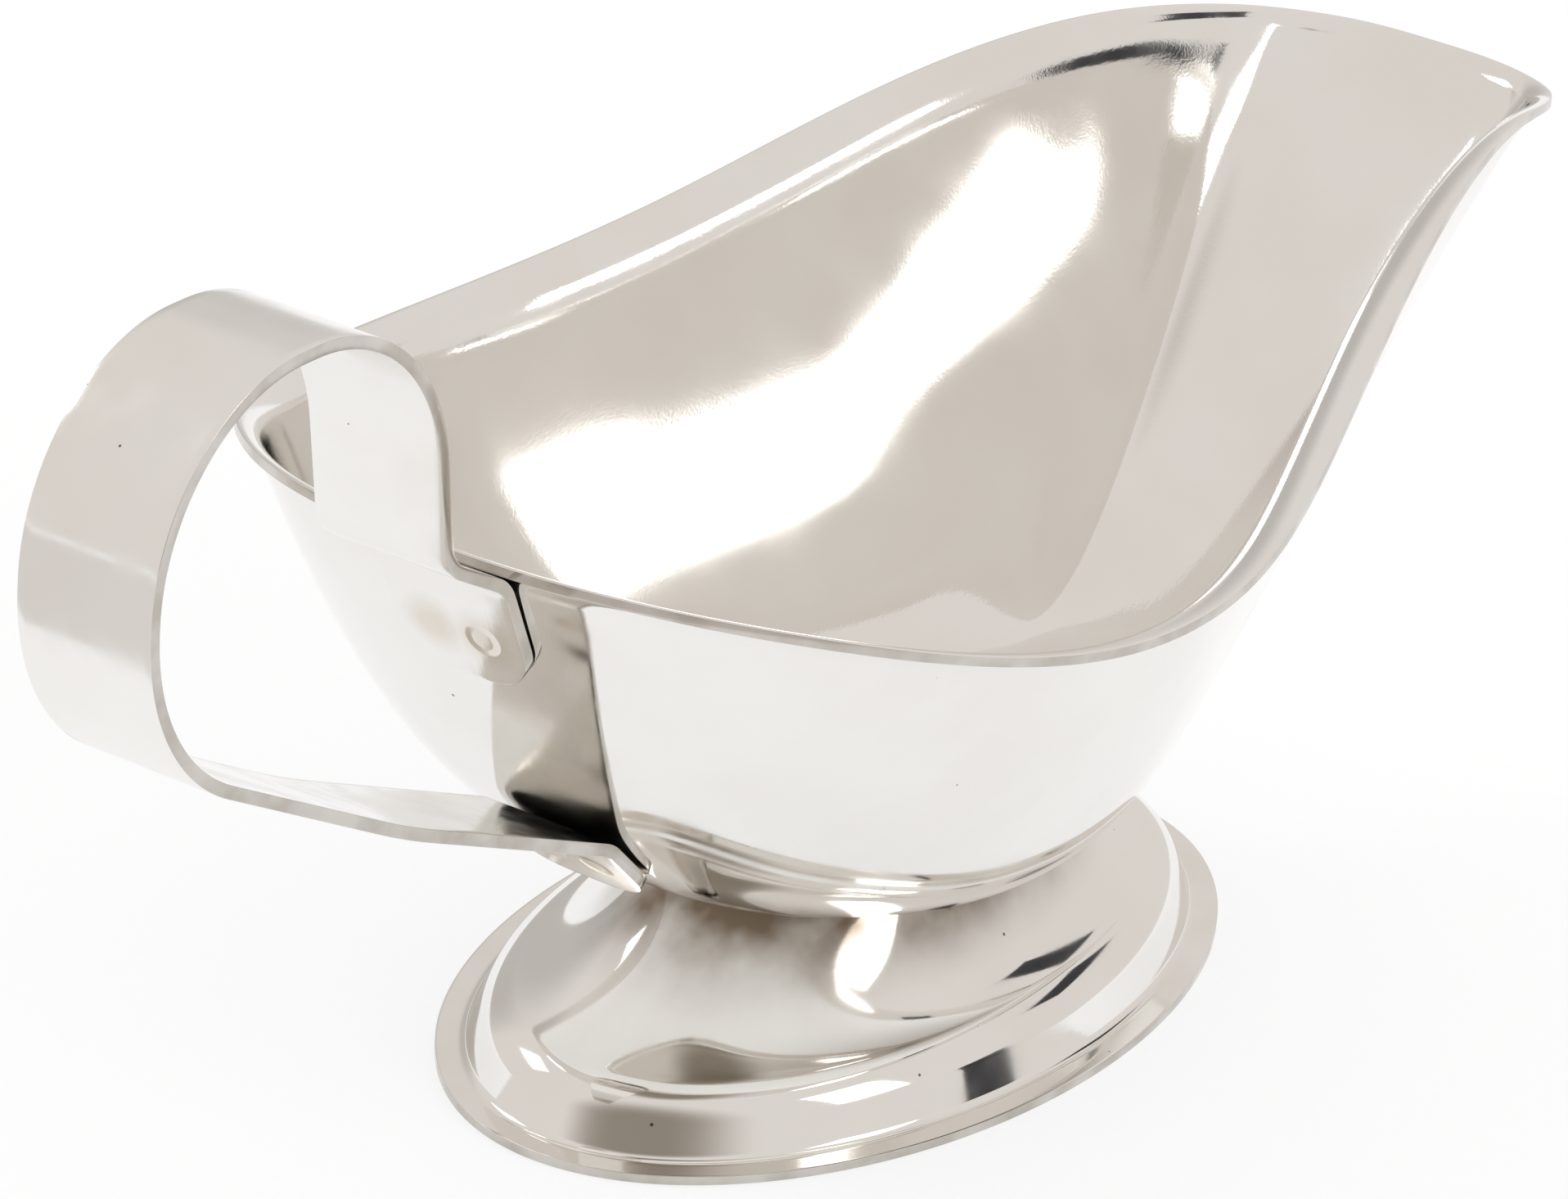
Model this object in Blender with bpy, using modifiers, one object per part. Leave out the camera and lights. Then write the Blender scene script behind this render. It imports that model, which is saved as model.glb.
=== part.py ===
"""Stainless-steel gravy boat: a pressed bowl, a strap handle and a pedestal foot.

Metres, +Z up.  The table is z = 0, the spout points along +X and the boat is
symmetric about the plane y = 0.  The dimensions below measure x from the
middle of the foot; the finished part is moved along X so that its origin lies
halfway between the back of the handle and the tip of the spout.
Each piece is one closed sheet-metal solid.
"""
import math

import bmesh
import bpy
from mathutils import Vector

MM = 0.001

# ---- driving dimensions ----------------------------------------------------
BOWL_SHEET = 0.8 * MM           # wall thickness of the pressed bowl
STRAP_SHEET = 1.1 * MM          # thickness of the handle strip
FOOT_SHEET = 0.8 * MM           # wall thickness of the pressed foot
WELD_GAP = 0.3 * MM             # clearance left where two pieces are welded
PRESSED_EDGE = 0.2 * MM         # bevel on the cut edges of the bowl and foot
STRAP_EDGE = 0.25 * MM          # bevel on the cut edges of the strip

# Outer edge of the rim, from the handle end round to the spout: x, y, z.
RIM_HALF = [
    (-62.0, 0.0, 60.5),
    (-60.5, 15.0, 60.5),
    (-51.0, 29.0, 58.2),
    (-30.0, 41.0, 53.8),
    (-10.0, 42.0, 52.8),
    (15.0, 35.8, 56.4),
    (40.0, 28.2, 63.0),
    (62.0, 22.0, 65.3),
    (76.0, 18.3, 63.8),
    (85.5, 14.0, 62.0),
    (88.5, 7.5, 61.8),
    (89.0, 0.0, 61.8),
]
RIM_STEPS = 36                  # equal steps along half of the rim

BOWL_BOTTOM_Z = 16.1 * MM       # underside of the bowl's flat bottom
BASE_CENTRE_X = 9.0 * MM         # the flat bottom is an ellipse ...
BASE_HALF_LENGTH = 14.0 * MM    # ... with these half axes
BASE_HALF_WIDTH = 10.0 * MM
# The wall rises as (distance from the flat bottom) ** power.
WALL_POWER_REAR = 3.0
WALL_POWER_SIDE = 3.0
WALL_POWER_SPOUT = 2.4
# Towards the spout the wall turns level near the top, as an open trough: this
# share of its height follows an S-curve that starts this far from the bottom.
SHELF = 0.7
SHELF_START = 0.25
# Turned-out lip: narrow behind the handle, widest along the sides and fading
# away where the trough becomes the pouring spout.
LIP_WIDTH_REAR = 1.6 * MM
LIP_WIDTH_SIDE = 3.4 * MM
LIP_WIDTH_SPOUT = 1.5 * MM
LIP_RISE = 1.8 * MM             # height gained across the lip
LIP_RISE_SPOUT = 0.8 * MM
LIP_ELBOW = 0.3                 # share of the lip's width where it has turned level

STRAP_WIDTH = 12.7 * MM
TAB_CORNER = 4.5 * MM           # corner radius of the strap's two welded ends
TAB_HALF = 5.0 * MM             # each welded tab lies flat this far below its weld
LOWER_WELD = 0.265              # weld heights, as shares of the rear wall's height
UPPER_WELD = 0.878
LOWER_TAB_TO_BEND = 5.2 * MM    # from each weld up the wall to where the strip bends
UPPER_TAB_TO_BEND = 6.6 * MM
LOWER_BEND_RADIUS = 5.0 * MM
UPPER_BEND_RADIUS = 4.5 * MM
LOOP_LEFT_X = -105.75 * MM      # middle of the strip at the back of the loop
LOOP_TOP_Z = 87.75 * MM         # middle of the strip at the top of the loop
LOOP_FRONT_X = -73.3 * MM       # corner above the front of the loop
RIM_BEND_X = -69.4 * MM         # bend where the strip turns in under the rim
RIM_BEND_Z = 63.4 * MM
RIM_BEND_RADIUS = 3.5 * MM
LOOP_BACK_RADIUS = 18.5 * MM
LOOP_TOP_RADIUS = 16.5 * MM
LOOP_FRONT_RADIUS = 17.0 * MM
# The lower run falls towards the bowl, a little less steeply near it.
RUN_SLOPE_BACK = 0.52
RUN_SLOPE_FRONT = 0.42
RUN_BEND_X = -73.0 * MM
RUN_BEND_RADIUS = 100.0 * MM

FOOT_HALF_LENGTH = 45.0 * MM
FOOT_HALF_WIDTH = 27.3 * MM
FOOT_TOP_Z = BOWL_BOTTOM_Z - WELD_GAP
NECK_HALF_LENGTH = 22.0 * MM
NECK_HALF_WIDTH = 13.5 * MM
FLANGE_WIDTH = 2.0 * MM         # flat ring that stands on the table
FLANGE_FLAT = 1.6 * MM          # part of it kept dead flat underneath
STEP_FILLET = 0.9 * MM          # fillet between the flange and the riser
RISER_TURN = math.radians(68)   # slope of the riser inside the flange
SHOULDER_Z = 6.4 * MM           # height at which the shoulder would be level
SHOULDER_RADIUS = 4.2 * MM
SHOULDER_END = math.radians(14) # slope where the shoulder meets the skirt
# The skirt climbs from the shoulder to the neck as a concave flare: this share
# of the height is gained evenly, the rest faster and faster towards the neck.
SKIRT_EVEN_RISE = 0.3
SKIRT_POWER = 2.2

ORIGIN_SHIFT = Vector((-(RIM_HALF[-1][0] * MM + LOOP_LEFT_X - STRAP_SHEET / 2) / 2, 0, 0))

STEEL_COLOUR = (0.62, 0.60, 0.57, 1.0)


# ---- curves ----------------------------------------------------------------
def catmull_rom(points, steps_per_span):
    """Smooth curve through points; the first and last only set the tangents."""
    curve = []
    for before, start, end, after in zip(points, points[1:], points[2:], points[3:]):
        for step in range(steps_per_span):
            t = step / steps_per_span
            curve.append(0.5 * (2 * start + (end - before) * t
                                + (2 * before - 5 * start + 4 * end - after) * t ** 2
                                + (3 * start - before - 3 * end + after) * t ** 3))
    curve.append(points[-2])
    return curve


def evenly_spaced(curve, count):
    """Resample a polyline to count + 1 points at equal distances along it."""
    lengths = [0.0]
    for a, b in zip(curve, curve[1:]):
        lengths.append(lengths[-1] + (b - a).length)
    result = []
    span = 0
    for i in range(count + 1):
        target = lengths[-1] * i / count
        while span < len(curve) - 2 and lengths[span + 1] < target:
            span += 1
        t = (target - lengths[span]) / (lengths[span + 1] - lengths[span])
        result.append(curve[span].lerp(curve[span + 1], t))
    return result


def smoothstep(value, start, end):
    """Ease from 0 at start to 1 at end."""
    t = min(max((value - start) / (end - start), 0.0), 1.0)
    return t * t * (3 - 2 * t)


def blend(rear, side, spout, share):
    """Value at a share of the way round the rim, from rear (0) to spout (1)."""
    to_side = smoothstep(share, 0.1, 0.35)
    to_spout = smoothstep(share, 0.6, 0.95)
    return rear + (side - rear) * to_side + (spout - side) * to_spout


def rounded_path(corners, arc_step=math.radians(9)):
    """Polyline of (point, bend radius) corners with each bend made an arc."""
    points = [corners[0][0]]
    for i in range(1, len(corners) - 1):
        corner, radius = corners[i]
        towards_start = (corners[i - 1][0] - corner).normalized()
        towards_end = (corners[i + 1][0] - corner).normalized()
        turn = math.pi - towards_start.angle(towards_end)
        reach = radius * math.tan(turn / 2)
        centre_line = (towards_start + towards_end).normalized()
        centre = corner + centre_line * (radius / math.cos(turn / 2))
        first = (corner + towards_start * reach - centre).normalized()
        last = (corner + towards_end * reach - centre).normalized()
        steps = max(2, math.ceil(turn / arc_step))
        for step in range(steps + 1):
            points.append(centre + first.slerp(last, step / steps) * radius)
    points.append(corners[-1][0])
    return points


# ---- mesh helpers ----------------------------------------------------------
def steel(name, roughness):
    material = bpy.data.materials.new(name)
    material.use_nodes = True
    shader = material.node_tree.nodes["Principled BSDF"]
    shader.inputs["Base Color"].default_value = STEEL_COLOUR
    shader.inputs["Metallic"].default_value = 1.0
    shader.inputs["Roughness"].default_value = roughness
    return material


def sheet_object(name, collection, material, rings, closed, cap_last=False):
    """Open surface through rows of points, ready to be given a thickness.

    closed joins each row's last point to its first, and cap_last fills the
    last row with a fan of triangles round its middle.
    """
    mesh = bmesh.new()
    rows = [[mesh.verts.new(point + ORIGIN_SHIFT) for point in ring] for ring in rings]
    columns = len(rows[0])
    for lower, upper in zip(rows, rows[1:]):
        for i in range(columns if closed else columns - 1):
            j = (i + 1) % columns
            mesh.faces.new((lower[i], lower[j], upper[j], upper[i]))
    if cap_last:
        middle = sum((vert.co for vert in rows[-1]), Vector()) / columns
        hub = mesh.verts.new(middle)
        for i in range(columns):
            mesh.faces.new((rows[-1][i], rows[-1][(i + 1) % columns], hub))
    for face in mesh.faces:
        face.smooth = True
    data = bpy.data.meshes.new(name)
    mesh.to_mesh(data)
    mesh.free()
    data.materials.append(material)
    obj = bpy.data.objects.new(name, data)
    collection.objects.link(obj)
    return obj


def thicken(obj, thickness, edge_round, offset):
    """Solidify the sheet, then round the corners of its cut edge."""
    solidify = obj.modifiers.new("thickness", "SOLIDIFY")
    solidify.thickness = thickness
    solidify.offset = offset
    solidify.use_even_offset = True
    solidify.use_quality_normals = True
    bevel = obj.modifiers.new("edge", "BEVEL")
    bevel.width = edge_round
    bevel.segments = 1
    bevel.limit_method = "ANGLE"
    bevel.angle_limit = math.radians(75)


# ---- bowl ------------------------------------------------------------------
def rim_outline():
    """Outer edge of the rim from the handle end, by the left side, to the spout."""
    half = [Vector(point) * MM for point in RIM_HALF]
    mirror = Vector((1, -1, 1))
    guides = [half[1] * mirror] + half + [half[-2] * mirror]
    return evenly_spaced(catmull_rom(guides, 16), RIM_STEPS)


def outward(outline, index):
    """Unit vector in plan, square to the rim at one of its points."""
    if index == 0:
        return Vector((-1, 0, 0))
    if index == len(outline) - 1:
        return Vector((1, 0, 0))
    along = outline[index + 1] - outline[index - 1]
    return Vector((-along.y, along.x, 0)).normalized()


def bowl_section(outline, index, wall_steps=13, lip_steps=4):
    """Outer surface from the flat bottom's edge up the wall and over the lip."""
    rim = outline[index]
    share = index / (len(outline) - 1)
    lip_width = blend(LIP_WIDTH_REAR, LIP_WIDTH_SIDE, LIP_WIDTH_SPOUT, share)
    lip_rise = blend(LIP_RISE, LIP_RISE, LIP_RISE_SPOUT, share)
    power = blend(WALL_POWER_REAR, WALL_POWER_SIDE, WALL_POWER_SPOUT, share)
    wall_top = rim - outward(outline, index) * lip_width - Vector((0, 0, lip_rise))
    angle = math.atan2(rim.y / BASE_HALF_WIDTH,
                       (rim.x - BASE_CENTRE_X) / BASE_HALF_LENGTH)
    base = Vector((BASE_CENTRE_X + BASE_HALF_LENGTH * math.cos(angle),
                   BASE_HALF_WIDTH * math.sin(angle), BOWL_BOTTOM_Z))
    shelf = SHELF * smoothstep(share, 0.7, 1.0)
    section = []
    for step in range(wall_steps + 1):
        share_out = step / wall_steps
        steep = share_out ** power
        level = smoothstep(share_out, SHELF_START, 1.0)
        point = base.lerp(wall_top, share_out)
        point.z = base.z + (wall_top.z - base.z) * (steep + (level - steep) * shelf)
        section.append(point)
    elbow = wall_top.lerp(rim, LIP_ELBOW)
    elbow.z = rim.z
    for step in range(1, lip_steps + 1):
        t = step / lip_steps
        section.append(wall_top * (1 - t) ** 2 + elbow * 2 * t * (1 - t) + rim * t ** 2)
    return section


def make_bowl(collection):
    outline = rim_outline()
    left = [bowl_section(outline, i) for i in range(len(outline))]
    right = [[Vector((p.x, -p.y, p.z)) for p in section] for section in left[-2:0:-1]]
    sections = left + right
    rings = [[section[row] for section in sections] for row in reversed(range(len(left[0])))]
    bowl = sheet_object("bowl", collection, steel("polished_steel_bowl", 0.08),
                        rings, closed=True, cap_last=True)
    thicken(bowl, BOWL_SHEET, PRESSED_EDGE, offset=-1)
    return bowl


def rear_wall(height_share):
    """Point and upward direction of the outer wall, in the plane y = 0, at the rear."""
    rim_x, _, rim_z = (value * MM for value in RIM_HALF[0])
    foot_x = BASE_CENTRE_X - BASE_HALF_LENGTH
    run = foot_x - (rim_x + LIP_WIDTH_REAR)
    depth = rim_z - LIP_RISE - BOWL_BOTTOM_Z
    share_out = height_share ** (1 / WALL_POWER_REAR)
    point = Vector((foot_x - run * share_out, 0, BOWL_BOTTOM_Z + depth * height_share))
    slope = depth / run * WALL_POWER_REAR * share_out ** (WALL_POWER_REAR - 1)
    return point, Vector((-1, 0, slope)).normalized()


# ---- handle ----------------------------------------------------------------
def weld_point(height_share):
    """Middle of the strip where it is welded to the rear wall, and the way up."""
    wall, up = rear_wall(height_share)
    stand_off = WELD_GAP + STRAP_SHEET / 2
    return wall + Vector((-up.z, 0, up.x)) * stand_off, up


def strap_path():
    """Middle line of the strip in the plane y = 0, lower tab to upper tab."""
    weld, up = weld_point(LOWER_WELD)
    lower_end = weld - up * TAB_HALF
    lower_bend = weld + up * LOWER_TAB_TO_BEND

    weld, up = weld_point(UPPER_WELD)
    upper_bend = weld + up * UPPER_TAB_TO_BEND
    upper_end = weld - up * TAB_HALF

    run_bend_z = lower_bend.z + (lower_bend.x - RUN_BEND_X) * RUN_SLOPE_FRONT
    back_low_z = run_bend_z + (RUN_BEND_X - LOOP_LEFT_X) * RUN_SLOPE_BACK
    return rounded_path([
        (lower_end, 0),
        (lower_bend, LOWER_BEND_RADIUS),
        (Vector((RUN_BEND_X, 0, run_bend_z)), RUN_BEND_RADIUS),
        (Vector((LOOP_LEFT_X, 0, back_low_z)), LOOP_BACK_RADIUS),
        (Vector((LOOP_LEFT_X, 0, LOOP_TOP_Z)), LOOP_TOP_RADIUS),
        (Vector((LOOP_FRONT_X, 0, LOOP_TOP_Z)), LOOP_FRONT_RADIUS),
        (Vector((RIM_BEND_X, 0, RIM_BEND_Z)), RIM_BEND_RADIUS),
        (upper_bend, UPPER_BEND_RADIUS),
        (upper_end, 0),
    ])


def tab_half_width(distance_to_end):
    """Half width of the strip: full, but rounded off near an end."""
    inside = max(TAB_CORNER - distance_to_end, 0.0)
    return STRAP_WIDTH / 2 - TAB_CORNER + math.sqrt(TAB_CORNER ** 2 - inside ** 2)


def with_tab_steps(path, steps=4):
    """Add points near both ends, bunched so that the round corners are smooth."""
    near = [TAB_CORNER * (1 - math.cos(math.pi / 2 * i / steps)) for i in range(steps + 1)]
    first, last = path[0], path[-1]
    into_start = (path[1] - first).normalized()
    into_end = (path[-2] - last).normalized()
    start = [first + into_start * distance for distance in near]
    end = [last + into_end * distance for distance in reversed(near)]
    return start + path[1:-1] + end


def make_handle(collection):
    path = with_tab_steps(strap_path())
    travelled = [0.0]
    for a, b in zip(path, path[1:]):
        travelled.append(travelled[-1] + (b - a).length)
    rings = []
    for point, distance in zip(path, travelled):
        half = tab_half_width(min(distance, travelled[-1] - distance))
        rings.append([point + Vector((0, side * half, 0)) for side in (-1, 0, 1)])
    handle = sheet_object("handle", collection, steel("polished_steel_handle", 0.15),
                          rings, closed=False)
    thicken(handle, STRAP_SHEET, STRAP_EDGE, offset=0)
    return handle


# ---- foot ------------------------------------------------------------------
def foot_profile(fillet_steps=3, shoulder_steps=5, skirt_steps=9):
    """Outer surface of the foot, edge to top: (half length, half width, z)."""
    inset_heights = [(0.0, FOOT_SHEET), (FLANGE_FLAT, FOOT_SHEET), (FLANGE_WIDTH, FOOT_SHEET)]
    for step in range(1, fillet_steps + 1):
        angle = RISER_TURN * step / fillet_steps
        inset_heights.append((
            FLANGE_WIDTH + STEP_FILLET * math.sin(angle),
            FOOT_SHEET + STEP_FILLET * (1 - math.cos(angle)),
        ))
    fillet_inset, fillet_z = inset_heights[-1]
    shoulder_low_z = SHOULDER_Z - SHOULDER_RADIUS * (1 - math.cos(RISER_TURN))
    riser_inset = fillet_inset + (shoulder_low_z - fillet_z) / math.tan(RISER_TURN)
    for step in range(shoulder_steps + 1):
        angle = RISER_TURN + (SHOULDER_END - RISER_TURN) * step / shoulder_steps
        inset_heights.append((
            riser_inset + SHOULDER_RADIUS * (math.sin(RISER_TURN) - math.sin(angle)),
            SHOULDER_Z - SHOULDER_RADIUS * (1 - math.cos(angle)),
        ))
    profile = [(FOOT_HALF_LENGTH - inset, FOOT_HALF_WIDTH - inset, z)
               for inset, z in inset_heights]

    skirt_length, skirt_width, skirt_z = profile[-1]
    for step in range(1, skirt_steps + 1):
        across = math.sin(math.pi / 2 * step / skirt_steps)
        up = SKIRT_EVEN_RISE * across + (1 - SKIRT_EVEN_RISE) * across ** SKIRT_POWER
        profile.append((
            skirt_length + (NECK_HALF_LENGTH - skirt_length) * across,
            skirt_width + (NECK_HALF_WIDTH - skirt_width) * across,
            skirt_z + (FOOT_TOP_Z - skirt_z) * up,
        ))
    return profile


def make_foot(collection, segments=56):
    rings = []
    for half_length, half_width, z in foot_profile():
        ring = []
        for i in range(segments):
            angle = 2 * math.pi * i / segments
            ring.append(Vector((half_length * math.cos(angle),
                                half_width * math.sin(angle), z)))
        rings.append(ring)
    foot = sheet_object("foot", collection, steel("polished_steel_foot", 0.08),
                        rings, closed=True, cap_last=True)
    thicken(foot, FOOT_SHEET, PRESSED_EDGE, offset=-1)
    return foot


# ---- assembly --------------------------------------------------------------
def main():
    for obj in list(bpy.data.objects):
        bpy.data.objects.remove(obj, do_unlink=True)
    parts = bpy.data.collections.new("gravy_boat")
    bpy.context.scene.collection.children.link(parts)
    make_bowl(parts)
    make_handle(parts)
    make_foot(parts)


main()
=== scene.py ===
"""Looks for the stainless-steel gravy boat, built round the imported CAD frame.

The bowl, the handle strap and the foot are rebuilt here as smooth, fine meshes
in the same places and sizes as their CAD nodes, because polished steel shows
every facet.  Metres, +Z up, spout along +X, symmetric about y = 0.
"""
import math

import bmesh
import bpy
import numpy as np
from mathutils import Matrix, Vector


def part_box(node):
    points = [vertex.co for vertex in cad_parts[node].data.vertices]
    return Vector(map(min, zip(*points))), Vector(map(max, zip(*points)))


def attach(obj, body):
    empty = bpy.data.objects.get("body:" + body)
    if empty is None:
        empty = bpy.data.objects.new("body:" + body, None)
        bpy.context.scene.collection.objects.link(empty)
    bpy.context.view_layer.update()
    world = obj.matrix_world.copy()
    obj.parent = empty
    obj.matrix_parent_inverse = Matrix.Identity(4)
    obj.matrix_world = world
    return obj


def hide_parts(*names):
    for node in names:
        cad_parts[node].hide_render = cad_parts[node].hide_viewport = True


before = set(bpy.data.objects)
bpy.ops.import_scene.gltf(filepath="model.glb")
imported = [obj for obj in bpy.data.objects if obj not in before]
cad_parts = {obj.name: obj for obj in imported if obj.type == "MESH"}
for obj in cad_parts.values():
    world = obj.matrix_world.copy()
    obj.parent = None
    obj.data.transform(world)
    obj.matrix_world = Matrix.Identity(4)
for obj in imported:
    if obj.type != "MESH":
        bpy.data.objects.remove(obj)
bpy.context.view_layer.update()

MM = 0.001

# ---- sizes taken from the frame ------------------------------------------------------
FOOT_LOW, FOOT_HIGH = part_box("foot")
BOWL_LOW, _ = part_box("bowl")
STRAP_LOW, STRAP_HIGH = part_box("handle")
FOOT_X = (FOOT_LOW.x + FOOT_HIGH.x) / 2         # middle of the foot
FOOT_HALF_LENGTH = (FOOT_HIGH.x - FOOT_LOW.x) / 2
FOOT_HALF_WIDTH = (FOOT_HIGH.y - FOOT_LOW.y) / 2
FOOT_TOP_Z = FOOT_HIGH.z
BOWL_BOTTOM_Z = BOWL_LOW.z
STRAP_WIDTH = STRAP_HIGH.y - STRAP_LOW.y

# ---- bowl ----------------------------------------------------------------------------
SHEET = 0.8 * MM                # wall thickness of the bowl and the foot
BOWL_EDGE = 0.25 * MM           # rounding of the bowl's cut edge

# Outer edge of the rim in mm from the middle of the foot, handle end to spout.
RIM_HALF = [
    (-62.0, 0.0, 60.5),
    (-60.5, 15.0, 60.5),
    (-51.0, 29.0, 58.2),
    (-30.0, 41.0, 53.8),
    (-10.0, 42.0, 52.8),
    (15.0, 35.8, 56.4),
    (40.0, 28.2, 63.0),
    (62.0, 22.0, 65.3),
    (76.0, 18.3, 63.8),
    (85.5, 14.0, 62.0),
    (88.4, 7.5, 61.8),
    (88.9, 0.0, 61.8),
]
RIM_STEPS = 160                 # equal steps along half of the rim

BASE_CENTRE_X = FOOT_X + 9.0 * MM   # the flat bottom is an ellipse ...
BASE_HALF_LENGTH = 14.0 * MM        # ... with these half axes
BASE_HALF_WIDTH = 10.0 * MM
# The wall rises as (distance from the flat bottom) ** power.
WALL_POWER_REAR = 3.0
WALL_POWER_SIDE = 3.0
WALL_POWER_SPOUT = 2.4
# Towards the spout the wall turns level near the top, as an open trough: this
# share of its height follows an S-curve that starts this far from the bottom.
SHELF = 0.7
SHELF_START = 0.25
TROUGH_START = 0.7              # share of the way round the rim where the trough begins
# Turned-out lip, widest along the sides.
LIP_WIDTH_REAR = 1.6 * MM
LIP_WIDTH_SIDE = 3.4 * MM
LIP_WIDTH_SPOUT = 1.5 * MM
LIP_RISE = 1.8 * MM             # height gained across the lip
LIP_RISE_SPOUT = 0.8 * MM
LIP_ELBOW = 0.3                 # share of the lip's width where it has turned level
# Shares of the way round the rim over which rear turns to side, and side to spout.
REAR_TO_SIDE = (0.1, 0.35)
SIDE_TO_SPOUT = (0.6, 0.95)


def smoothstep(value, start, end):
    """Ease from 0 at start to 1 at end."""
    t = min(max((value - start) / (end - start), 0.0), 1.0)
    return t * t * (3 - 2 * t)


def blend(rear, side, spout, share):
    """Value at a share of the way round the rim, from rear (0) to spout (1)."""
    to_side = smoothstep(share, *REAR_TO_SIDE)
    to_spout = smoothstep(share, *SIDE_TO_SPOUT)
    return rear + (side - rear) * to_side + (spout - side) * to_spout


def travelled(points):
    """Distance along a polyline from its start to each of its points."""
    steps = np.linalg.norm(np.diff(points, axis=0), axis=1)
    return np.concatenate([[0], np.cumsum(steps)])


def points_at(distances, points):
    """Points of a polyline at the given distances along it."""
    lengths = travelled(points)
    columns = [np.interp(distances, lengths, points[:, axis]) for axis in range(3)]
    return [Vector(row) for row in np.transpose(columns)]


def closed_spline(points, count, fineness=200):
    """count points evenly spaced along the smooth closed curve through points.

    The curve is the periodic cubic spline, whose bending changes without a
    step, so that reflections in the steel run on unbroken.
    """
    loop = np.array([tuple(point) for point in points])
    n = len(loop)
    chord = np.roll(loop, -1, axis=0) - loop
    span = np.linalg.norm(chord, axis=1)
    before = np.roll(span, 1)
    system = np.zeros((n, n))
    for i in range(n):
        system[i, i - 1] = before[i]
        system[i, i] = 2 * (before[i] + span[i])
        system[i, (i + 1) % n] = span[i]
    slope = chord / span[:, None]
    bend = np.linalg.solve(system, 6 * (slope - np.roll(slope, 1, axis=0)))
    dense = []
    for i in range(n):
        j = (i + 1) % n
        h = span[i]
        for t in np.linspace(0, h, fineness, endpoint=False):
            curved = (bend[i] * (h - t) ** 3 + bend[j] * t ** 3) / (6 * h)
            from_start = (loop[i] / h - bend[i] * h / 6) * (h - t)
            from_end = (loop[j] / h - bend[j] * h / 6) * t
            dense.append(curved + from_start + from_end)
    dense = np.array(dense + dense[:1])
    wanted = np.linspace(0, travelled(dense)[-1], count, endpoint=False)
    return points_at(wanted, dense)


def rim_outline():
    """Outer edge of the rim, all the way round from the handle end."""
    half = [Vector(point) * MM + Vector((FOOT_X, 0, 0)) for point in RIM_HALF]
    other = [Vector((p.x, -p.y, p.z)) for p in half[-2:0:-1]]
    return closed_spline(half + other, 2 * RIM_STEPS)


def bowl_section(outline, index, wall_steps=48, lip_steps=14):
    """Outer surface from the flat bottom's edge up the wall and over the lip."""
    rim = outline[index]
    share = 1 - abs(1 - index / RIM_STEPS)
    along = outline[(index + 1) % len(outline)] - outline[index - 1]
    outward = Vector((-along.y, along.x, 0)).normalized()
    lip_width = blend(LIP_WIDTH_REAR, LIP_WIDTH_SIDE, LIP_WIDTH_SPOUT, share)
    lip_rise = blend(LIP_RISE, LIP_RISE, LIP_RISE_SPOUT, share)
    power = blend(WALL_POWER_REAR, WALL_POWER_SIDE, WALL_POWER_SPOUT, share)
    shelf = SHELF * smoothstep(share, TROUGH_START, 1.0)
    wall_top = rim - outward * lip_width - Vector((0, 0, lip_rise))
    angle = math.atan2(rim.y / BASE_HALF_WIDTH, (rim.x - BASE_CENTRE_X) / BASE_HALF_LENGTH)
    base = Vector((BASE_CENTRE_X + BASE_HALF_LENGTH * math.cos(angle),
                   BASE_HALF_WIDTH * math.sin(angle), BOWL_BOTTOM_Z))
    section = []
    for step in range(wall_steps + 1):
        share_out = step / wall_steps
        steep = share_out ** power
        level = smoothstep(share_out, SHELF_START, 1.0)
        point = base.lerp(wall_top, share_out)
        point.z = base.z + (wall_top.z - base.z) * (steep + (level - steep) * shelf)
        section.append(point)
    elbow = wall_top.lerp(rim, LIP_ELBOW)
    elbow.z = rim.z
    for step in range(1, lip_steps + 1):
        t = step / lip_steps
        section.append(wall_top * (1 - t) ** 2 + elbow * 2 * t * (1 - t) + rim * t ** 2)
    return section


def make_bowl(outside, inside, edge):
    outline = rim_outline()
    sections = [bowl_section(outline, i) for i in range(len(outline))]
    rings = [[section[row] for section in sections] for row in reversed(range(len(sections[0])))]
    bowl = sheet_object("bowl_shell", [outside, inside, edge], rings, closed=True, cap_last=True)
    thicken(bowl, SHEET, BOWL_EDGE, offset=-1)
    return bowl


# ---- mesh helpers --------------------------------------------------------------------
def sheet_object(name, materials, rings, closed, cap_last=False):
    """Open surface through rows of points, ready to be given a thickness.

    closed joins each row's last point to its first, and cap_last fills the
    last row with a fan of triangles round its middle.
    """
    mesh = bmesh.new()
    rows = [[mesh.verts.new(point) for point in ring] for ring in rings]
    columns = len(rows[0])
    for lower, upper in zip(rows, rows[1:]):
        for i in range(columns if closed else columns - 1):
            j = (i + 1) % columns
            mesh.faces.new((lower[i], lower[j], upper[j], upper[i]))
    if cap_last:
        middle = sum((vert.co for vert in rows[-1]), Vector()) / columns
        hub = mesh.verts.new(middle)
        for i in range(columns):
            mesh.faces.new((rows[-1][i], rows[-1][(i + 1) % columns], hub))
    for face in mesh.faces:
        face.smooth = True
    data = bpy.data.meshes.new(name)
    mesh.to_mesh(data)
    mesh.free()
    for material in materials:
        data.materials.append(material)
    obj = bpy.data.objects.new(name, data)
    bpy.context.scene.collection.objects.link(obj)
    return obj


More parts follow.
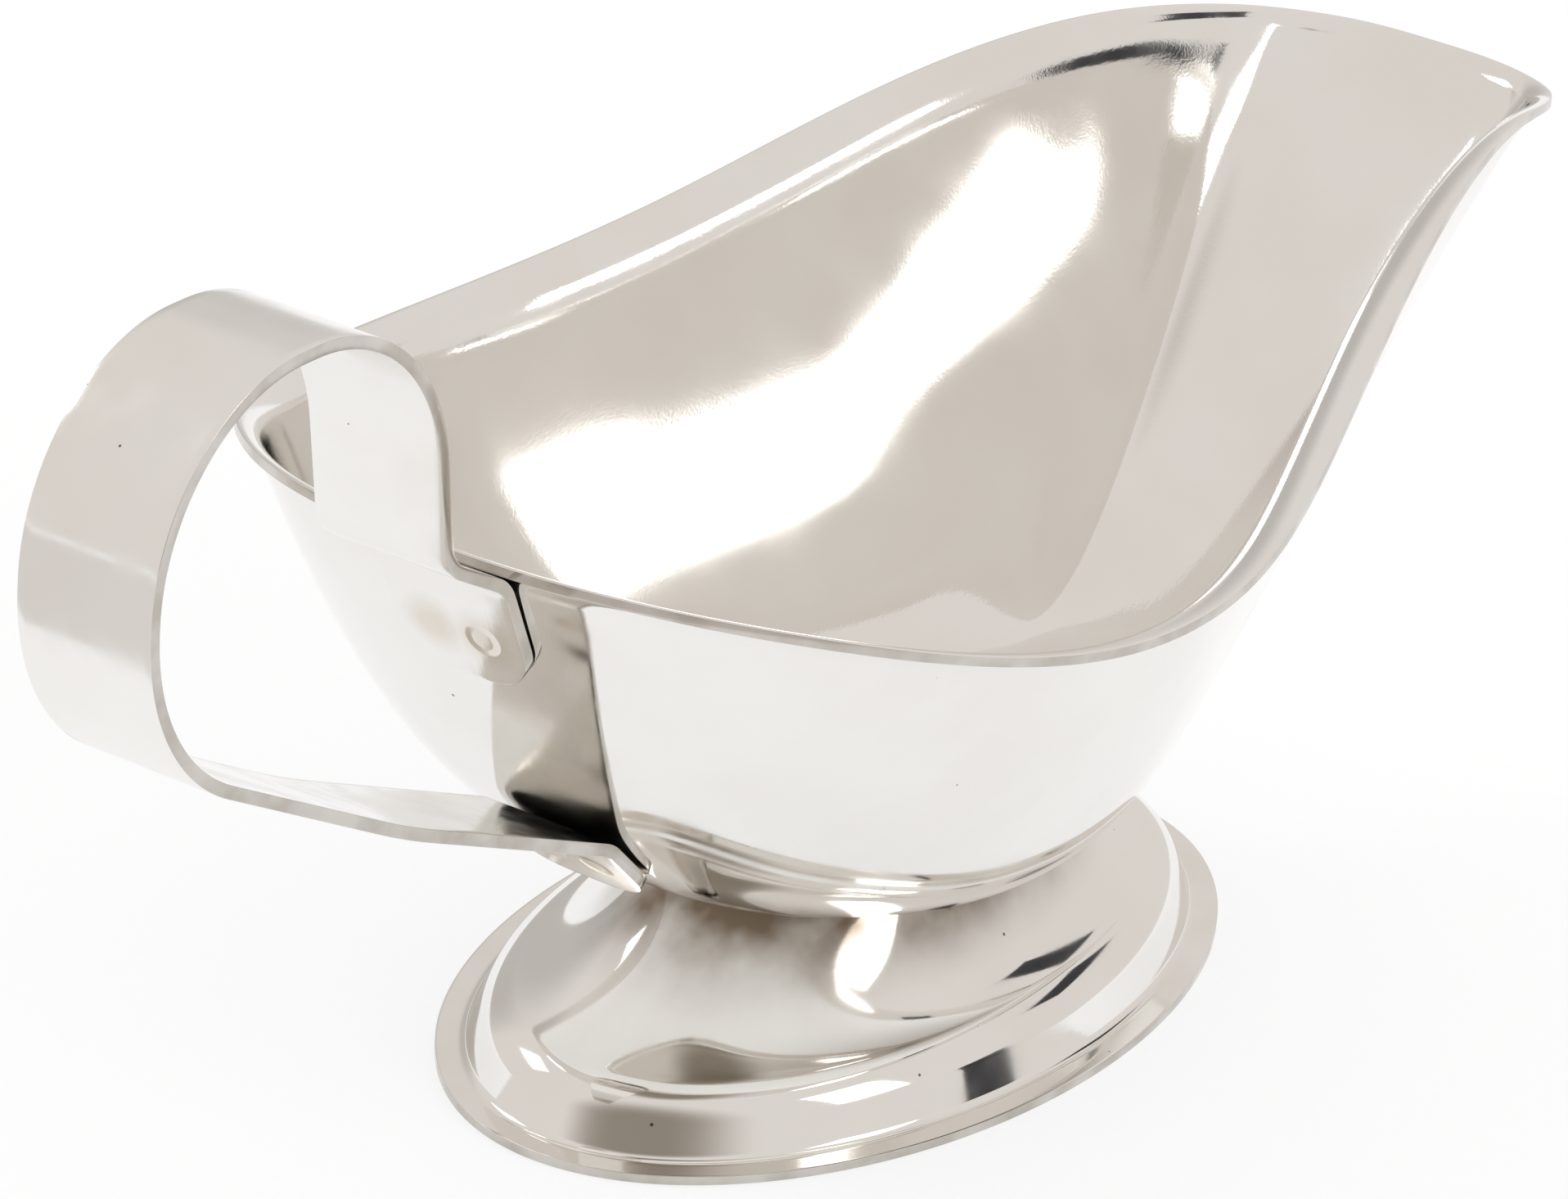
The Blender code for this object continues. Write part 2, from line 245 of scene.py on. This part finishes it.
def thicken(obj, thickness, edge_round, offset):
    """Solidify the sheet and round the corners of its cut edge.

    The last material covers the cut edge.  The first covers the face, and also
    the back unless there is one between them.
    """
    last = len(obj.data.materials) - 1
    solidify = obj.modifiers.new("thickness", "SOLIDIFY")
    solidify.material_offset = last - 1
    solidify.material_offset_rim = last
    solidify.thickness = thickness
    solidify.offset = offset
    solidify.use_even_offset = True
    solidify.use_quality_normals = True
    bevel = obj.modifiers.new("edge", "BEVEL")
    bevel.width = edge_round
    bevel.segments = 3
    bevel.limit_method = "ANGLE"    # catches the square corners of the cut edge
    bevel.angle_limit = math.radians(75)


# ---- handle --------------------------------------------------------------------------
STRAP_SHEET = 1.1 * MM
STRAP_EDGE = 0.2 * MM           # rounding of the strap's cut edge
TAB_CORNER = 4.5 * MM           # corner radius of the strap's two welded ends
TAB_HALF = 5.0 * MM             # each welded tab lies flat this far below its weld
TAB_GAP = 0.05 * MM             # the tabs all but touch the bowl
LOWER_WELD = 0.265              # weld heights, as shares of the rear wall's height
UPPER_WELD = 0.878
LOWER_TAB_TO_BEND = 5.2 * MM    # from each weld up the wall to where the strip bends
UPPER_TAB_TO_BEND = 7.1 * MM
LOWER_BEND_RADIUS = 5.0 * MM
UPPER_BEND_RADIUS = 4.5 * MM
LOOP_LEFT_X = STRAP_LOW.x + STRAP_SHEET / 2     # middle of the strip at the back
LOOP_TOP_Z = STRAP_HIGH.z - STRAP_SHEET / 2     # and at the top of the loop
LOOP_FRONT_X = FOOT_X - 73.3 * MM
LOOP_BACK_RADIUS = 18.5 * MM
LOOP_TOP_RADIUS = 16.5 * MM
LOOP_FRONT_RADIUS = 17.0 * MM
RIM_BEND_X = FOOT_X - 69.4 * MM # bend where the strip turns in under the rim
RIM_BEND_Z = 63.8 * MM
RIM_BEND_RADIUS = 3.5 * MM
# The lower run falls towards the bowl, a little less steeply near it.
RUN_SLOPE_BACK = 0.52
RUN_SLOPE_FRONT = 0.42
RUN_BEND_X = FOOT_X - 73.0 * MM
RUN_BEND_RADIUS = 100.0 * MM
STRAP_STEP = 0.35 * MM          # spacing of the strap's rows of points
STRAP_COLUMNS = 16              # faces across the strap
WELD_OFFSET = 0.19 * STRAP_WIDTH    # each spot weld's distance from the middle line


def rounded_path(corners, arc_step=math.radians(2.5)):
    """Polyline of (point, bend radius) corners with each bend made an arc."""
    points = [corners[0][0]]
    for i in range(1, len(corners) - 1):
        corner, radius = corners[i]
        towards_start = (corners[i - 1][0] - corner).normalized()
        towards_end = (corners[i + 1][0] - corner).normalized()
        turn = math.pi - towards_start.angle(towards_end)
        reach = radius * math.tan(turn / 2)
        centre_line = (towards_start + towards_end).normalized()
        centre = corner + centre_line * (radius / math.cos(turn / 2))
        first = (corner + towards_start * reach - centre).normalized()
        last = (corner + towards_end * reach - centre).normalized()
        steps = max(4, math.ceil(turn / arc_step))
        for step in range(steps + 1):
            points.append(centre + first.slerp(last, step / steps) * radius)
    points.append(corners[-1][0])
    return points


def rear_wall(height_share):
    """Point and upward direction of the outer wall, in the plane y = 0, at the rear."""
    rim_x = RIM_HALF[0][0] * MM + FOOT_X
    rim_z = RIM_HALF[0][2] * MM
    bottom_x = BASE_CENTRE_X - BASE_HALF_LENGTH
    run = bottom_x - (rim_x + LIP_WIDTH_REAR)
    depth = rim_z - LIP_RISE - BOWL_BOTTOM_Z
    share_out = height_share ** (1 / WALL_POWER_REAR)
    point = Vector((bottom_x - run * share_out, 0, BOWL_BOTTOM_Z + depth * height_share))
    slope = depth / run * WALL_POWER_REAR * share_out ** (WALL_POWER_REAR - 1)
    return point, Vector((-1, 0, slope)).normalized()


def weld_point(height_share):
    """Middle of the strip where it is welded to the rear wall, and the way up."""
    wall, up = rear_wall(height_share)
    stand_off = TAB_GAP + STRAP_SHEET / 2
    return wall + Vector((-up.z, 0, up.x)) * stand_off, up


def weld_marks():
    """Spot welds, two side by side on each tab."""
    marks = []
    for height_share in (LOWER_WELD, UPPER_WELD):
        middle, _ = weld_point(height_share)
        for side in (-1, 1):
            marks.append(middle + Vector((0, side * WELD_OFFSET, 0)))
    return marks


def strap_path():
    """Middle line of the strip in the plane y = 0, lower tab to upper tab."""
    weld, up = weld_point(LOWER_WELD)
    lower_end = weld - up * TAB_HALF
    lower_bend = weld + up * LOWER_TAB_TO_BEND

    weld, up = weld_point(UPPER_WELD)
    upper_bend = weld + up * UPPER_TAB_TO_BEND
    upper_end = weld - up * TAB_HALF

    run_bend_z = lower_bend.z + (lower_bend.x - RUN_BEND_X) * RUN_SLOPE_FRONT
    back_low_z = run_bend_z + (RUN_BEND_X - LOOP_LEFT_X) * RUN_SLOPE_BACK
    return rounded_path([
        (lower_end, 0),
        (lower_bend, LOWER_BEND_RADIUS),
        (Vector((RUN_BEND_X, 0, run_bend_z)), RUN_BEND_RADIUS),
        (Vector((LOOP_LEFT_X, 0, back_low_z)), LOOP_BACK_RADIUS),
        (Vector((LOOP_LEFT_X, 0, LOOP_TOP_Z)), LOOP_TOP_RADIUS),
        (Vector((LOOP_FRONT_X, 0, LOOP_TOP_Z)), LOOP_FRONT_RADIUS),
        (Vector((RIM_BEND_X, 0, RIM_BEND_Z)), RIM_BEND_RADIUS),
        (upper_bend, UPPER_BEND_RADIUS),
        (upper_end, 0),
    ])


def tab_half_width(distance_to_end):
    """Half width of the strip: full, but rounded off near an end."""
    inside = max(TAB_CORNER - distance_to_end, 0.0)
    return STRAP_WIDTH / 2 - TAB_CORNER + math.sqrt(max(TAB_CORNER ** 2 - inside ** 2, 0.0))


def make_handle(face, edge):
    path = np.array([tuple(point) for point in strap_path()])
    length = travelled(path)[-1]
    distances = np.linspace(0, length, round(length / STRAP_STEP) + 1)
    rings = []
    for point, distance in zip(points_at(distances, path), distances):
        half = tab_half_width(min(distance, length - distance))
        across = [half * (2 * column / STRAP_COLUMNS - 1) for column in range(STRAP_COLUMNS + 1)]
        rings.append([point + Vector((0, y, 0)) for y in across])
    handle = sheet_object("handle_strap", [face, edge], rings, closed=False)
    thicken(handle, STRAP_SHEET, STRAP_EDGE, offset=0)
    return handle


# ---- foot ----------------------------------------------------------------------------
FOOT_EDGE = 0.2 * MM            # rounding of the foot's cut edge
NECK_HALF_LENGTH = 22.0 * MM
NECK_HALF_WIDTH = 13.5 * MM
FLANGE_WIDTH = 2.0 * MM         # flat ring that stands on the table
STEP_FILLET = 0.9 * MM          # fillet between the flange and the riser
RISER_TURN = math.radians(68)   # slope of the short riser inside the flange
SHOULDER_Z = 6.4 * MM           # height at which the shoulder would be level
SHOULDER_RADIUS = 4.2 * MM
SHOULDER_END = math.radians(14)     # slope where the shoulder meets the skirt
# The skirt climbs from the shoulder to the neck as a concave flare: this share
# of the height is gained evenly, the rest faster and faster towards the neck.
SKIRT_EVEN_RISE = 0.3
SKIRT_POWER = 2.2


def foot_profile(ring_steps=8, fillet_steps=8, shoulder_steps=32, skirt_steps=56):
    """Outer surface of the foot, edge to top: (half length, half width, z)."""
    inset_heights = [(FLANGE_WIDTH * step / ring_steps, SHEET) for step in range(ring_steps + 1)]
    for step in range(1, fillet_steps + 1):
        angle = RISER_TURN * step / fillet_steps
        inset_heights.append((
            FLANGE_WIDTH + STEP_FILLET * math.sin(angle),
            SHEET + STEP_FILLET * (1 - math.cos(angle)),
        ))
    fillet_inset, fillet_z = inset_heights[-1]
    shoulder_low_z = SHOULDER_Z - SHOULDER_RADIUS * (1 - math.cos(RISER_TURN))
    riser_inset = fillet_inset + (shoulder_low_z - fillet_z) / math.tan(RISER_TURN)
    for step in range(shoulder_steps + 1):
        angle = RISER_TURN + (SHOULDER_END - RISER_TURN) * step / shoulder_steps
        inset_heights.append((
            riser_inset + SHOULDER_RADIUS * (math.sin(RISER_TURN) - math.sin(angle)),
            SHOULDER_Z - SHOULDER_RADIUS * (1 - math.cos(angle)),
        ))
    profile = [(FOOT_HALF_LENGTH - inset, FOOT_HALF_WIDTH - inset, z) for inset, z in inset_heights]

    skirt_length, skirt_width, skirt_z = profile[-1]
    for step in range(1, skirt_steps + 1):
        across = math.sin(math.pi / 2 * step / skirt_steps)
        up = SKIRT_EVEN_RISE * across + (1 - SKIRT_EVEN_RISE) * across ** SKIRT_POWER
        profile.append((
            skirt_length + (NECK_HALF_LENGTH - skirt_length) * across,
            skirt_width + (NECK_HALF_WIDTH - skirt_width) * across,
            skirt_z + (FOOT_TOP_Z - skirt_z) * up,
        ))
    return profile


def make_foot(face, edge, segments=256):
    angles = [2 * math.pi * i / segments for i in range(segments)]
    rings = []
    for half_length, half_width, z in foot_profile():
        rings.append([Vector((FOOT_X + half_length * math.cos(angle),
                              half_width * math.sin(angle), z)) for angle in angles])
    foot = sheet_object("foot_pressing", [face, edge], rings, closed=True, cap_last=True)
    thicken(foot, SHEET, FOOT_EDGE, offset=-1)
    return foot


# ---- node helpers --------------------------------------------------------------------
def add_node(tree, kind, inputs, **settings):
    """New shader node; an input is either a value or another node's output."""
    node = tree.nodes.new("ShaderNode" + kind)
    for name, value in settings.items():
        setattr(node, name, value)
    for name, value in inputs.items():
        if isinstance(value, bpy.types.NodeSocket):
            tree.links.new(value, node.inputs[name])
        else:
            node.inputs[name].default_value = value
    return node


def noise(tree, place, scale, detail=3.0):
    """Cloudy value about 0.5; scale is in cycles per metre, one number or (x, y, z)."""
    if isinstance(scale, tuple):
        place = add_node(tree, "Mapping", {"Vector": place, "Scale": scale}).outputs["Vector"]
        scale = 1.0
    cloud = add_node(tree, "TexNoise", {"Vector": place, "Scale": scale, "Detail": detail})
    return cloud.outputs["Fac"]


def remap(tree, value, low, high, new_low, new_high):
    """Ease from new_low where value is low to new_high where it is high."""
    ramp = add_node(tree, "MapRange", {
        "Value": value, "From Min": low, "From Max": high, "To Min": new_low, "To Max": new_high,
    }, interpolation_type="SMOOTHSTEP")
    return ramp.outputs["Result"]


def product(tree, first, second):
    return add_node(tree, "Math", {0: first, 1: second}, operation="MULTIPLY").outputs["Value"]


def mixed(tree, share, first, second):
    mix = add_node(tree, "Mix", {"Factor": share, "A": first, "B": second}, data_type="RGBA")
    return mix.outputs["Result"]


def bumped(tree, height, depth, under=None):
    """Normal for a height of 0 to 1 that stands for depth metres."""
    inputs = {"Height": height, "Distance": depth, "Strength": 1.0}
    if under is not None:
        inputs["Normal"] = under
    return add_node(tree, "Bump", inputs).outputs["Normal"]


def specks(tree, place, spacing, size):
    """1 in small scattered pits up to size metres across, 0 elsewhere."""
    cells = add_node(tree, "TexVoronoi", {"Vector": place, "Scale": 1 / spacing})
    chance = add_node(tree, "SeparateColor", {"Color": cells.outputs["Color"]})
    reach = remap(tree, chance.outputs["Red"], 0.55, 1.0, 0.0, size / spacing / 2)
    inside = add_node(tree, "Math", {0: reach, 1: cells.outputs["Distance"]},
                      operation="GREATER_THAN")
    return inside.outputs["Value"]


def near_points(tree, place, points, inner, outer):
    """1 within inner metres of any of the points, fading to 0 at outer."""
    nearest = None
    for point in points:
        away = add_node(tree, "VectorMath", {0: place, 1: point}, operation="DISTANCE")
        distance = away.outputs["Value"]
        if nearest is not None:
            closer = add_node(tree, "Math", {0: nearest, 1: distance}, operation="MINIMUM")
            distance = closer.outputs["Value"]
        nearest = distance
    return remap(tree, nearest, inner, outer, 1.0, 0.0)


# ---- steel finishes ------------------------------------------------------------------
STEEL_LIGHT = (0.875, 0.86, 0.835, 1)
STEEL_DARK = (0.85, 0.83, 0.80, 1)
SPECK_COLOUR = (0.22, 0.19, 0.16, 1)
HEAT_TINT = (0.60, 0.50, 0.38, 1)
EDGE_COLOUR = (0.42, 0.38, 0.33, 1)
# Dark brown painted shade: it stands in for the shaded floor that the steel reflects near the
# bowl's bottom and in the foot's neck.
PAINTED_SHADE_COLOUR = (0.20, 0.155, 0.11, 1)
CLOUD_SCALE = 60.0              # cycles per metre of the faint clouds in the colour
WAVE_SCALE = 55.0               # and of the sheet's slight waviness
WAVE_DEPTH = 0.08 * MM


class Steel:
    """What the finishes share: clouded colour and a slightly wavy face."""

    def __init__(self, name):
        self.material = bpy.data.materials.new(name)
        self.material.use_nodes = True
        self.tree = self.material.node_tree
        self.shader = self.tree.nodes["Principled BSDF"]
        self.shader.inputs["Metallic"].default_value = 1.0
        self.place = add_node(self.tree, "TexCoord", {}).outputs["Object"]
        clouds = remap(self.tree, self.noise(CLOUD_SCALE), 0.35, 0.65, 0.0, 1.0)
        self.colour = mixed(self.tree, clouds, STEEL_LIGHT, STEEL_DARK)
        self.normal = bumped(self.tree, self.noise(WAVE_SCALE, detail=1.0), WAVE_DEPTH)

    def noise(self, scale, detail=3.0):
        return noise(self.tree, self.place, scale, detail)

    def height(self):
        return add_node(self.tree, "SeparateXYZ", {"Vector": self.place}).outputs["Z"]

    def tint(self, share, colour):
        self.colour = mixed(self.tree, share, self.colour, colour)

    def pit(self, spacing, size):
        self.tint(specks(self.tree, self.place, spacing, size), SPECK_COLOUR)

    def dent(self, height, depth):
        self.normal = bumped(self.tree, height, depth, self.normal)

    def finish(self, grain, smooth, rough):
        """Join everything up; the grain, 0.3 to 0.7, drives the roughness."""
        roughness = remap(self.tree, grain, 0.3, 0.7, smooth, rough)
        self.tree.links.new(self.colour, self.shader.inputs["Base Color"])
        self.tree.links.new(roughness, self.shader.inputs["Roughness"])
        self.tree.links.new(self.normal, self.shader.inputs["Normal"])
        return self.material


def mirror_steel(name):
    """Buffed outside of the bowl: faint polishing lines round it, a few pits, and painted shade
    darkening it towards the bottom.
    """
    steel = Steel(name)
    # Painted shade: dark brown from the bottom up 3 mm, in place of the shaded floor that the
    # bowl's underside reflects.
    painted_shade_top = BOWL_BOTTOM_Z + 3.0 * MM
    bottom_painted_shade = remap(steel.tree, steel.height(), BOWL_BOTTOM_Z, painted_shade_top, 0.7, 0.0)
    steel.pit(spacing=4.0 * MM, size=0.30 * MM)
    steel.tint(bottom_painted_shade, PAINTED_SHADE_COLOUR)
    steel.dent(steel.noise((120.0, 120.0, 4200.0)), 0.0008 * MM)
    return steel.finish(steel.noise(240.0), smooth=0.04, rough=0.10)


def satin_steel(name):
    """Inside of the bowl: a fine pressed grain that breaks up the reflections."""
    steel = Steel(name)
    steel.pit(spacing=6.0 * MM, size=0.35 * MM)
    steel.dent(steel.noise(3600.0), 0.004 * MM)
    steel.dent(steel.noise((900.0, 2600.0, 2600.0)), 0.002 * MM)
    return steel.finish(steel.noise(180.0), smooth=0.05, rough=0.11)


def sheared_steel(name):
    """Cut edges of the sheet: duller and darker, unevenly rubbed."""
    steel = Steel(name)
    marks = steel.noise(220.0)
    steel.tint(remap(steel.tree, marks, 0.3, 0.7, 0.55, 0.85), EDGE_COLOUR)
    steel.dent(marks, 0.003 * MM)
    return steel.finish(marks, smooth=0.12, rough=0.22)


def strap_steel(name):
    """Handle strip: lengthwise scratches, and round spot welds on both tabs."""
    steel = Steel(name)
    welds = weld_marks()
    heated = near_points(steel.tree, steel.place, welds, inner=0.8 * MM, outer=4.0 * MM)
    dimples = near_points(steel.tree, steel.place, welds, inner=1.1 * MM, outer=1.9 * MM)
    steel.pit(spacing=3.0 * MM, size=0.30 * MM)
    steel.tint(product(steel.tree, heated, 0.45), HEAT_TINT)
    steel.dent(steel.noise((150.0, 3800.0, 150.0), detail=5.0), 0.004 * MM)
    steel.dent(dimples, -0.10 * MM)
    return steel.finish(steel.noise(200.0), smooth=0.10, rough=0.24)


def foot_steel(name):
    """Foot: mirror polish, with painted shade where it meets the bowl, and browned along its edge.
    """
    steel = Steel(name)
    height = steel.height()
    uneven = steel.noise(150.0)
    edge = remap(steel.tree, height, 0.5 * MM, 1.2 * MM, 0.4, 0.0)
    # Painted shade: dark brown rising up the neck to the bowl, in place of the dark reflections and
    # shade in that crevice.
    neck_painted_shade = remap(steel.tree, height, FOOT_TOP_Z - 8.0 * MM, FOOT_TOP_Z - 0.5 * MM, 0.0, 1.7)
    steel.tint(product(steel.tree, edge, uneven), HEAT_TINT)
    steel.tint(product(steel.tree, neck_painted_shade, uneven), PAINTED_SHADE_COLOUR)
    steel.pit(spacing=3.0 * MM, size=0.35 * MM)
    steel.dent(steel.noise((900.0, 900.0, 3000.0)), 0.001 * MM)
    return steel.finish(uneven, smooth=0.04, rough=0.10)


# ---- studio --------------------------------------------------------------------------
AIM = Vector((0, 0, 50 * MM))       # point that the lights and cards face
LIGHT_DISTANCE = 1.2
CARD_DISTANCE = 1.15
ROOM_COLOUR = (0.79, 0.755, 0.725, 1)
# Broad tones of the room: azimuth, elevation, full inside, gone outside (degrees), colour.
STUDIO_TONES = [
    (-155, 12, 12, 48, (0.30, 0.265, 0.225, 1)),
    (55, 8, 8, 30, (0.55, 0.53, 0.50, 1)),
]


def direction(azimuth, elevation):
    """Unit vector; azimuth in degrees from +X towards +Y, elevation above the horizon."""
    a, e = math.radians(azimuth), math.radians(elevation)
    return Vector((math.cos(a) * math.cos(e), math.sin(a) * math.cos(e), math.sin(e)))


def make_camera():
    """Long lens, looking down over the handle, tilted a little to one side."""
    distance = 0.6854
    roll = math.radians(4.5)
    target = Vector((FOOT_X - 12.71 * MM, 0, 40.1 * MM))
    back = direction(-146.8, 24.74)
    across = Vector((0, 0, 1)).cross(back).normalized()
    up = back.cross(across)
    right = across * math.cos(roll) + up * math.sin(roll)
    top = up * math.cos(roll) - across * math.sin(roll)
    place = target + back * distance
    data = bpy.data.cameras.new("camera")
    data.sensor_width = 36.0
    data.lens = 187.8914
    camera = bpy.data.objects.new("camera", data)
    camera.matrix_world = Matrix(((right.x, top.x, back.x, place.x),
                                  (right.y, top.y, back.y, place.y),
                                  (right.z, top.z, back.z, place.z),
                                  (0, 0, 0, 1)))
    bpy.context.scene.collection.objects.link(camera)
    bpy.context.scene.camera = camera


def matt(name, colour, roughness, specular=0.5, glow=None):
    """Plain material for the stage; glow is the colour of the light it gives off."""
    material = bpy.data.materials.new(name)
    material.use_nodes = True
    shader = material.node_tree.nodes["Principled BSDF"]
    shader.inputs["Base Color"].default_value = colour
    shader.inputs["Roughness"].default_value = roughness
    shader.inputs["Specular IOR Level"].default_value = specular
    if glow is not None:
        shader.inputs["Emission Color"].default_value = glow
        shader.inputs["Emission Strength"].default_value = 1.0
    return material


def stage_card(name, low, high, z, material):
    """Level rectangle from corner low to corner high, (x, y) each."""
    mesh = bpy.data.meshes.new(name)
    mesh.from_pydata([(low[0], low[1], z), (high[0], low[1], z),
                      (high[0], high[1], z), (low[0], high[1], z)], [], [(0, 1, 2, 3)])
    mesh.materials.append(material)
    card = bpy.data.objects.new(name, mesh)
    bpy.context.scene.collection.objects.link(card)
    return card


def face_object(obj, azimuth, elevation, distance):
    """Hang a light or card at a distance in a direction, facing the object."""
    away = direction(azimuth, elevation)
    obj.location = AIM + away * distance
    obj.rotation_mode = "QUATERNION"
    obj.rotation_quaternion = (-away).to_track_quat("-Z", "Y")


def size_seen(degrees, distance):
    """Width that fills an angle when seen from a distance."""
    return 2 * distance * math.tan(math.radians(degrees / 2))


def make_floor():
    half = 10.0
    white = matt("floor_white", (0.4, 0.4, 0.4, 1), roughness=0.9, specular=0.0,
                 glow=(0.679, 0.6895, 0.7, 1))
    stage_card("floor", (-half, -half), (half, half), 0.0, white)


def make_table_end():
    """Where the white table gives way to the darker room behind the handle.

    Only reflections see it, so that the view itself keeps a clean white ground.
    """
    near, far, half = -0.16, -1.6, 1.6
    grey = matt("table_end", (0, 0, 0, 1), roughness=1.0, specular=0.0,
                glow=(0.75, 0.715, 0.69, 1))
    ground = stage_card("table_end", (far, -half), (near, half), 1.0 * MM, grey)
    ground.visible_camera = False
    ground.visible_diffuse = False
    ground.visible_shadow = False


def make_world():
    """Even warm room with broad darker tones that fade out smoothly."""
    world = bpy.data.worlds.new("studio")
    bpy.context.scene.world = world
    world.use_nodes = True
    tree = world.node_tree
    looking = add_node(tree, "TexCoord", {}).outputs["Generated"]
    colour = ROOM_COLOUR
    for azimuth, elevation, inner, outer, tone in STUDIO_TONES:
        towards = add_node(tree, "VectorMath", {0: looking, 1: direction(azimuth, elevation)},
                           operation="DOT_PRODUCT")
        edge = math.cos(math.radians(outer))
        core = math.cos(math.radians(inner))
        share = remap(tree, towards.outputs["Value"], edge, core, 0.0, 1.0)
        colour = mixed(tree, share, colour, tone)
    tree.links.new(colour, tree.nodes["Background"].inputs["Color"])


def softbox(name, azimuth, elevation, width, height, radiance):
    """Rectangular area light facing the object; width and height in degrees of view."""
    data = bpy.data.lights.new(name, "AREA")
    data.shape = "RECTANGLE"
    data.size = size_seen(width, LIGHT_DISTANCE)
    data.size_y = size_seen(height, LIGHT_DISTANCE)
    data.energy = radiance * math.pi * data.size * data.size_y
    light = bpy.data.objects.new(name, data)
    face_object(light, azimuth, elevation, LIGHT_DISTANCE)
    light.visible_camera = False
    bpy.context.scene.collection.objects.link(light)


def flag(name, azimuth, elevation, width, height):
    """Small black card beside a light: it gives the polish its dark accents."""
    half_w = size_seen(width, CARD_DISTANCE) / 2
    half_h = size_seen(height, CARD_DISTANCE) / 2
    black = matt(name, (0.03, 0.03, 0.035, 1), roughness=0.8)
    card = stage_card(name, (-half_w, -half_h), (half_w, half_h), 0.0, black)
    face_object(card, azimuth, elevation, CARD_DISTANCE)
    card.visible_camera = False
    card.visible_diffuse = False


# ---- pieces and scene ----------------------------------------------------------------
sheared = sheared_steel("sheared_edge_steel")
bowl = make_bowl(mirror_steel("bowl_outside_steel"), satin_steel("bowl_inside_steel"), sheared)
handle = make_handle(strap_steel("handle_steel"), sheared)
foot = make_foot(foot_steel("foot_steel"), sheared)
for piece, node in ((bowl, "bowl"), (handle, "handle"), (foot, "foot")):
    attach(piece, "root")
    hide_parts(node)

make_floor()
make_table_end()
make_world()
make_camera()
# Azimuth, elevation, width and height in degrees, and for a softbox its radiance.
softbox("softbox_left", 102, 37, 20, 13, 3.0)
softbox("softbox_right", -78, 27, 16, 26, 2.6)
flag("flag_low", -57, 4, 9, 9)
flag("flag_high", -14, 33, 20, 6)
bpy.context.scene.view_settings.view_transform = "Standard"
